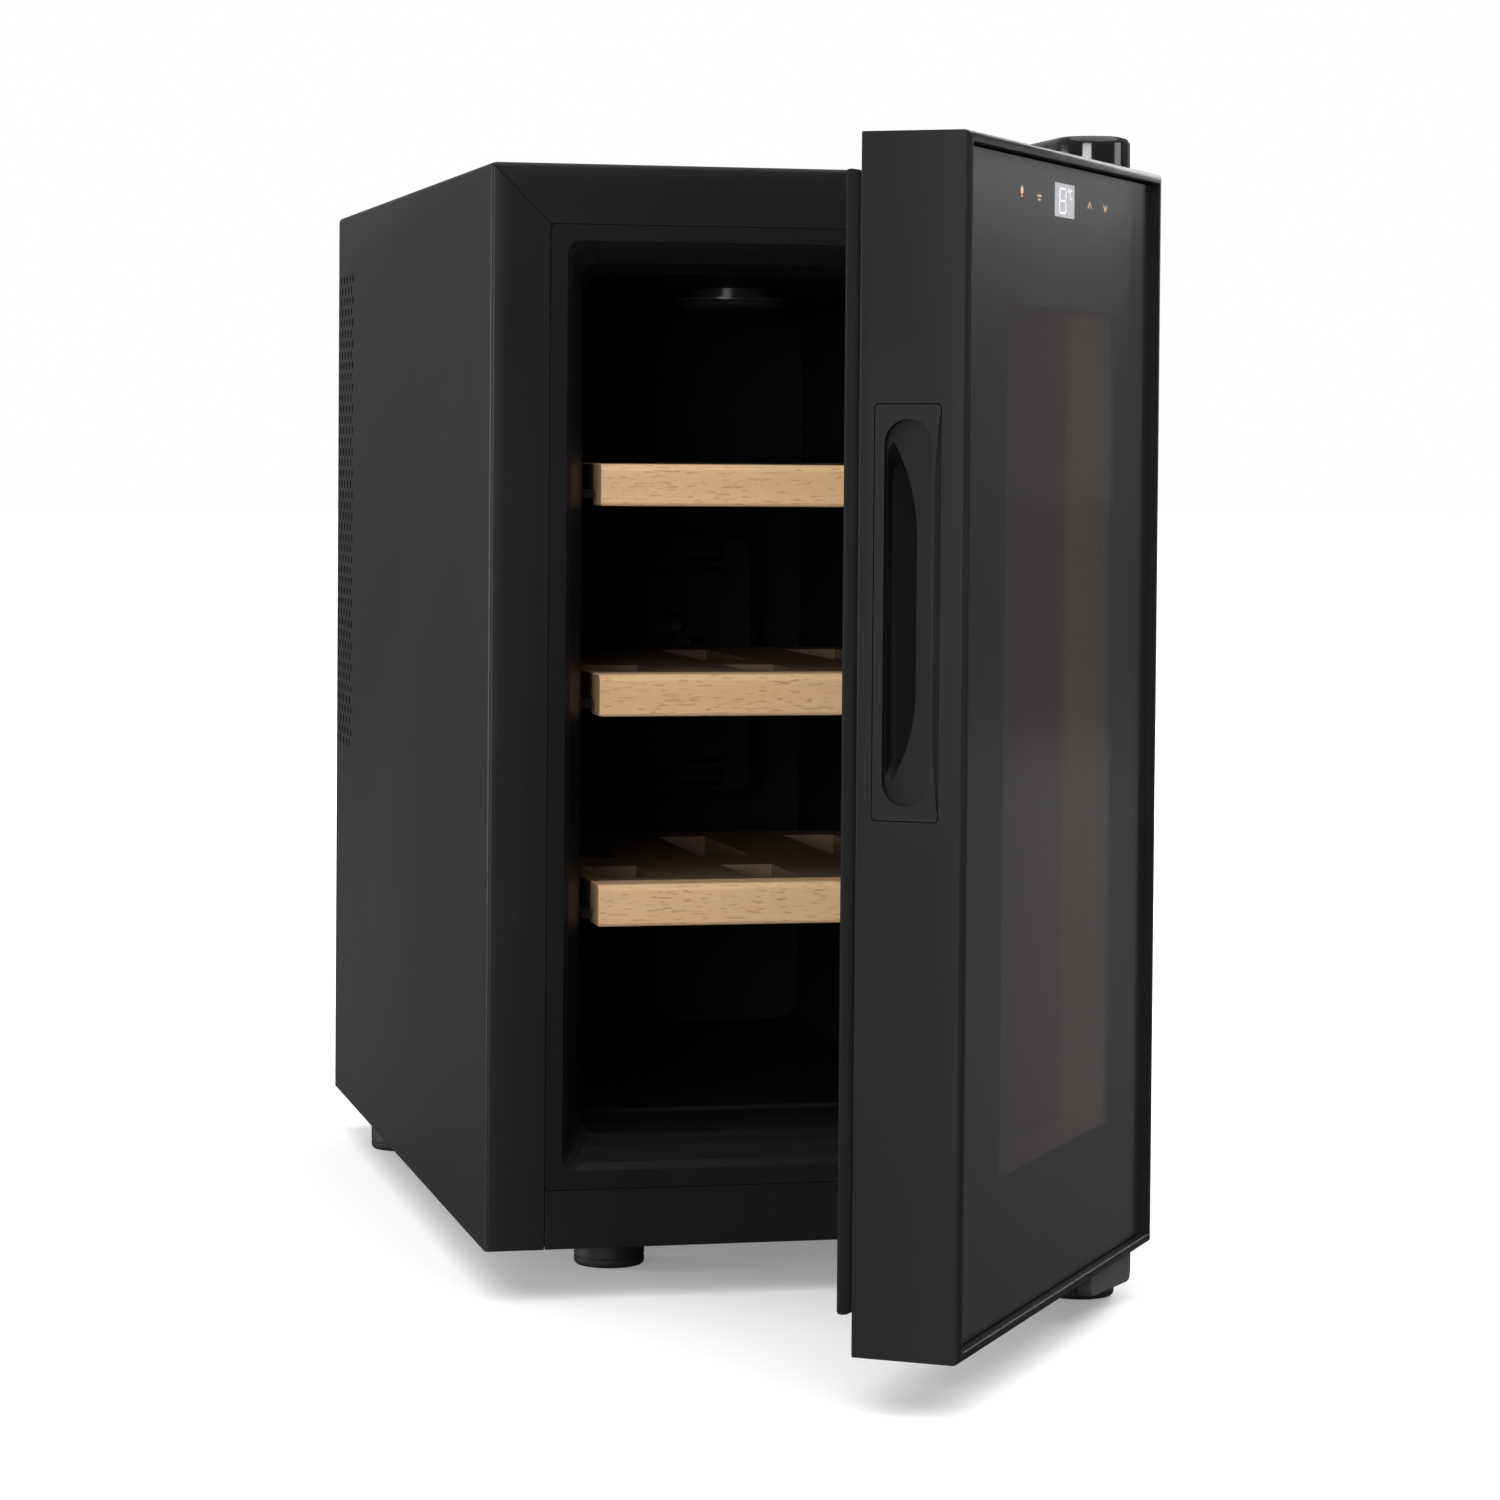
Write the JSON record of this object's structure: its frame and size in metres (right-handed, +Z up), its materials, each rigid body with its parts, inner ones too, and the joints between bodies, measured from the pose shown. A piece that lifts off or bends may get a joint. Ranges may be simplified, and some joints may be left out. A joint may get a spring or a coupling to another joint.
{
  "type": "wine cooler",
  "caption": "Free-standing countertop wine cooler with a glazed door hinged on the right, sliding wooden shelves and a thermoelectric cooling unit.",
  "frame": {"origin": "centre of the cabinet's flat underside, on the pressed pad of the base panel, 20 mm above the floor that its feet stand on", "axes": "+Z up, -Y out of the door opening, +X towards the hinge side"},
  "size_m": [0.2648, 0.6866, 0.46],
  "materials": {
    "painted_steel": "satin",
    "black_plastic": "satin",
    "gloss_plastic": "gloss",
    "liner_plastic": "satin",
    "door_plastic": "satin",
    "tinted_glass": "gloss",
    "clear_glass": "gloss",
    "foam": "matte",
    "aluminium": "satin",
    "plated_steel": "satin",
    "rubber": "matte",
    "ceramic": "matte",
    "circuit_board": "satin",
    "nylon": "satin",
    "beech": "satin"
  },
  "bodies": {
    "cabinet": {"outer_wrap": "painted_steel", "base_panel": "painted_steel", "liner": "liner_plastic", "insulation_foam": "foam", "rear_panel": "painted_steel", "rear_screw_1": "plated_steel", "rear_screw_2": "plated_steel", "rear_screw_3": "plated_steel", "rear_screw_4": "plated_steel", "hot_heatsink": "aluminium", "thermoelectric_module": "ceramic", "cold_block": "aluminium", "cold_heatsink": "aluminium", "inner_fan_cover": "black_plastic", "inner_fan_frame": "black_plastic", "outer_fan_frame": "black_plastic", "power_board": "circuit_board", "mains_inlet": "black_plastic", "lamp_lens": "clear_glass", "lamp_board": "circuit_board", "temperature_sensor": "black_plastic", "foot_front_left": "rubber", "foot_front_right": "rubber", "foot_rear_left": "rubber", "foot_rear_right": "rubber", "foot_hinge": "rubber", "top_hinge_plate": "plated_steel", "top_hinge_pin": "plated_steel", "top_hinge_cover": "gloss_plastic", "lower_hinge_plate": "plated_steel", "lower_hinge_pin": "plated_steel", "top_hinge_screw_1": "plated_steel", "top_hinge_screw_2": "plated_steel", "lower_hinge_screw_1": "plated_steel", "lower_hinge_screw_2": "plated_steel"},
    "door": {"door_frame": "door_plastic", "front_glass": "tinted_glass", "glazing_spacer": "aluminium", "inner_glass": "clear_glass", "door_back_panel": "liner_plastic", "gasket": "rubber", "handle_insert": "door_plastic", "display_module": "circuit_board", "upper_bush": "nylon", "lower_bush": "nylon", "hinge_skirt": "door_plastic"},
    "shelf_1": {"shelf_1_front_bar": "beech", "shelf_1_frame": "beech"},
    "shelf_2": {"shelf_2_front_bar": "beech", "shelf_2_frame": "beech"},
    "shelf_3": {"shelf_3_front_bar": "beech", "shelf_3_frame": "beech"},
    "outer_fan": {"outer_fan_rotor": "black_plastic"},
    "inner_fan": {"inner_fan_rotor": "black_plastic"}
  },
  "joints": [
    {"name": "door_hinge", "type": "hinge", "parent": "cabinet", "child": "door", "pos_m": [0.1117, -0.2494, 0.213], "axis": [0, 0, 1], "range_deg": [-56.34, 60]},
    {"name": "shelf_1_slide", "type": "slide", "parent": "cabinet", "child": "shelf_1", "axis": [0, -1, 0], "range_m": [0, 0.06]},
    {"name": "shelf_2_slide", "type": "slide", "parent": "cabinet", "child": "shelf_2", "axis": [0, -1, 0], "range_m": [0, 0.06]},
    {"name": "shelf_3_slide", "type": "slide", "parent": "cabinet", "child": "shelf_3", "axis": [0, -1, 0], "range_m": [0, 0.06]},
    {"name": "outer_fan_spin", "type": "hinge", "parent": "cabinet", "child": "outer_fan", "pos_m": [0, 0.185, 0.215], "axis": [0, 1, 0], "continuous": true},
    {"name": "inner_fan_spin", "type": "hinge", "parent": "cabinet", "child": "inner_fan", "pos_m": [0, 0.0805, 0.215], "axis": [0, 1, 0], "continuous": true}
  ]
}
